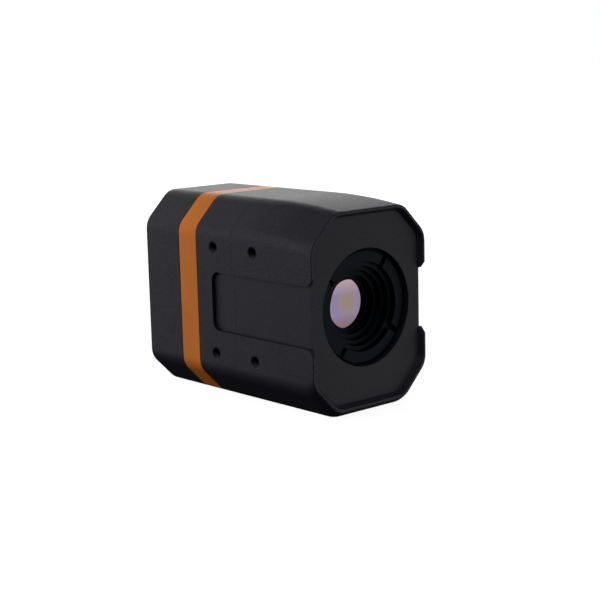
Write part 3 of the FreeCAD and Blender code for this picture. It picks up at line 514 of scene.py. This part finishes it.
def makeSocket(name, common, own, replaced):
    # tail, flange and shell as one outline; the threaded stretch is sampled finely and fades at both ends
    start, end = own["thread"]
    count = int((end - start) / common["pitch"] * common["samples"])
    stretch = np.linspace(start, end, count)
    fade = np.clip(np.minimum(stretch - start, end - stretch) / (common["runOut"] * common["pitch"]), 0, 1)
    flangeBack = common["panel"] + common["flange"]
    flangeEdge = common["flangeRadius"] - common["chamfer"]
    before = [(common["tailFront"], common["tailBore"]), (common["tailFront"], common["tailRadius"]),
              (common["panel"], common["tailRadius"]), (common["panel"], flangeEdge),
              (common["panel"] + common["chamfer"], common["flangeRadius"]),
              (flangeBack - common["chamfer"], common["flangeRadius"]), (flangeBack, flangeEdge),
              (flangeBack, own["shell"])]
    rim = [(common["end"] - common["shellChamfer"], own["shell"]),
           (common["end"], own["shell"] - common["shellChamfer"]),
           (common["end"], own["bore"] + common["mouthEdge"]),
           (common["end"] - common["mouthEdge"], own["bore"])]
    after = [(common["boreFloor"], own["bore"]), (common["boreFloor"], common["tailBore"])]
    if own["inside"]:
        thread = list(zip(stretch[::-1], np.full(count, own["bore"])))
        outline = before + rim + thread + after
        first = len(before) + len(rim)
    else:
        thread = list(zip(stretch, np.full(count, own["shell"])))
        outline = before + thread + rim + after
        first = len(before)
    height = np.zeros(len(outline))
    height[first:first + count] = own["height"] * fade
    piece = turnedPiece(name, outline, common["steps"], own["z"], height, common["pitch"])
    return finishPiece(tidyMesh(piece, common["smooth"]), "socket_nickel", "camera_body", [replaced])


sideThreadShape = {
    "surface": 27.8, "depths": (30.9, 52.95), "rise": 19.6,       # where the holes are, in mm
    "start": 0.55, "turns": 6.6, "pitch": 0.7,
    "root": 2.03, "crest": 1.68, "foot": 0.30, "flat": 0.05, "steps": 40,
    "runOut": 0.4, "smooth": 30,                                  # turns over which an end tapers, degrees
}


def makeSideThreads(look):
    # eight helical ridges: angle = 2 pi t, distance inwards = start + pitch t, with a four-sided section
    # that shrinks to a point at both ends
    turn = np.linspace(0, look["turns"], int(look["turns"] * look["steps"]))
    size = np.clip(np.minimum(turn, look["turns"] - turn) / look["runOut"], 0, 1)[:, None]
    ridge = look["root"] - look["crest"]
    radial = look["root"] - size * np.array([0, ridge, ridge, 0])
    axial = size * np.array([-look["foot"], -look["flat"], look["flat"], look["foot"]])
    inwards = look["start"] + look["pitch"] * turn[:, None] + axial
    angle = 2 * np.pi * turn[:, None]
    threads = []
    for side in (-1, 1):
        for holeDepth in look["depths"]:
            for rise in (-look["rise"], look["rise"]):
                points = np.stack([side * (look["surface"] - inwards) * mm,
                                   depth(holeDepth) + radial * np.cos(angle) * mm,
                                   lensZ + (rise + side * radial * np.sin(angle)) * mm], axis=-1)
                threads.append(points)
    for number, points in enumerate(threads):
        piece = tidyMesh(gridMesh("sideThread%d" % (number + 1), points, closeV=True), look["smooth"])
        finishPiece(piece, "housing_coat", "camera_body")
    return len(threads)


makeFrontLens(lensShape)
makeBaffle(baffleShape)
makeSocket("networkSocket", socketShape, networkShape, "network_socket")
makeSocket("powerSocket", socketShape, powerShape, "power_socket")
print("detail pieces made, side threads:", makeSideThreads(sideThreadShape))


floorLook = {
    "rings": (0.0005, 0.3, 1.0, 2.5, 6.0),      # metres from the middle
    "sides": 96,
    "colour": (0.30, 0.30, 0.30),
    "below": 0.05 * mm,           # the paper is just clear of the underside
    "glow": 0.93,                 # keeps the paper near white, so that only a faint contact shadow shows
    "fade": (0.12, 0.45),         # from here to here it turns into the backdrop's white
}


def makeFloor(look):
    # a flat disc of white paper that runs into the backdrop; it doesn't bounce light back on the object
    angle = np.linspace(0, 2 * np.pi, look["sides"], endpoint=False)
    rings = np.array(look["rings"])
    points = np.stack([rings[:, None] * np.cos(angle), rings[:, None] * np.sin(angle),
                       np.full((len(rings), len(angle)), -look["below"])], axis=-1)
    floor = gridMesh("floor", points, closeV=True)
    paper = {"Roughness": 0.9, "Specular IOR Level": 0.0, "Emission Color": (1, 1, 1, 1)}
    material, tree, shader, place = startMaterial("floorPaper", paper)
    fibre = noise(tree, place, 3 * mm, 3.0, 0.5)
    colour = ramp(tree, fibre, [(noiseLow, scaled(look["colour"], 0.97)), (noiseHigh, look["colour"])])
    tree.links.new(colour, shader.inputs["Base Color"])
    distance = addNode(tree, "ShaderNodeVectorMath", {0: place}, operation="LENGTH").outputs["Value"]
    near, far = look["fade"]
    glow = mapRange(tree, distance, near, far, look["glow"], 1.0)
    tree.links.new(glow, shader.inputs["Emission Strength"])
    floor.data.materials.append(material)
    floor.visible_diffuse = False
    floor.visible_glossy = False
    floor.visible_shadow = False
    return floor


lightLook = {
    # name: direction from the object, distance, width, height, brightness
    "sideScreen": ((-0.62, 0.78, 0.06), 1.2, 1.1, 1.0, 0.66),
    "backScreen": ((0.44, 0.88, 0.22), 1.3, 1.7, 0.7, 2.2),
    "frontPanel": ((0.66, -0.73, -0.16), 0.95, 1.5, 1.2, 0.53),
    "leftPanel": ((-0.84, 0.10, 0.50), 1.2, 1.0, 1.0, 1.3),
}


def makeLights(look):
    # soft white panels that face the object
    target = Vector((0, 0, lensZ))
    for name, (direction, distance, width, height, brightness) in look.items():
        lamp = bpy.data.lights.new(name, "AREA")
        lamp.shape = "RECTANGLE"
        lamp.size = width
        lamp.size_y = height
        lamp.energy = 4 * brightness * width * height      # a panel's watts for a given brightness
        holder = bpy.data.objects.new(name, lamp)
        towards = Vector(direction).normalized()
        holder.location = target + towards * distance
        holder.rotation_euler = towards.to_track_quat("Z", "Y").to_euler()
        holder.visible_camera = False
        bpy.context.scene.collection.objects.link(holder)


worldLook = {"seen": (1.0, 1.0, 1.0), "above": 0.20, "level": 0.035, "below": 0.008}


def makeWorld(look):
    # the camera sees a plain white backdrop; the object is lit by a dim dome that is brighter overhead
    world = bpy.data.worlds.new("studio")
    bpy.context.scene.world = world
    world.use_nodes = True
    tree = world.node_tree
    tree.nodes.clear()
    direction = addNode(tree, "ShaderNodeTexCoord").outputs["Generated"]
    up = addNode(tree, "ShaderNodeSeparateXYZ", {"Vector": direction}).outputs["Z"]
    share = mapRange(tree, up, -1.0, 1.0, 0.0, 1.0)
    stops = [(0.42, (look["below"],) * 3), (0.55, (look["level"],) * 3), (1.0, (look["above"],) * 3)]
    grey = ramp(tree, share, stops)
    dome = addNode(tree, "ShaderNodeBackground", {"Color": grey})
    seen = addNode(tree, "ShaderNodeBackground", {"Color": (*look["seen"], 1)})
    seenRay = addNode(tree, "ShaderNodeLightPath").outputs["Is Camera Ray"]
    mixed = addNode(tree, "ShaderNodeMixShader", {0: seenRay, 1: dome.outputs[0], 2: seen.outputs[0]})
    addNode(tree, "ShaderNodeOutputWorld", {"Surface": mixed.outputs[0]})


cameraLook = {
    "azimuth": -41.58, "elevation": 10.255, "roll": -1.425,      # degrees
    "distance": 531.1 * mm,
    "target": (6.825 * mm, 45.0 * mm, 34.06 * mm),               # from the bottom centre of the front rim
    "lens": 84.5, "sensor": 36.0,
    "clip": (0.01, 50.0),
}


def makeCamera(look):
    azimuth, elevation, roll = (math.radians(look[key]) for key in ("azimuth", "elevation", "roll"))
    back = Vector((math.sin(azimuth) * math.cos(elevation), -math.cos(azimuth) * math.cos(elevation),
                   math.sin(elevation)))
    right = (-back).cross(Vector((0, 0, 1))).normalized()
    up = right.cross(-back)
    turnedRight = right * math.cos(roll) + up * math.sin(roll)
    turnedUp = up * math.cos(roll) - right * math.sin(roll)
    place = Vector((0, frontY, 0)) + Vector(look["target"]) + back * look["distance"]
    camera = bpy.data.cameras.new("camera")
    camera.lens = look["lens"]
    camera.sensor_width = look["sensor"]
    camera.clip_start, camera.clip_end = look["clip"]
    holder = bpy.data.objects.new("camera", camera)
    turn = Matrix((turnedRight, turnedUp, back)).transposed()
    holder.matrix_world = Matrix.Translation(place) @ turn.to_4x4()
    bpy.context.scene.collection.objects.link(holder)
    bpy.context.scene.camera = holder


makeFloor(floorLook)
makeLights(lightLook)
makeWorld(worldLook)
makeCamera(cameraLook)
bpy.context.scene.view_settings.view_transform = "Standard"
print("stage, lights and camera ready")
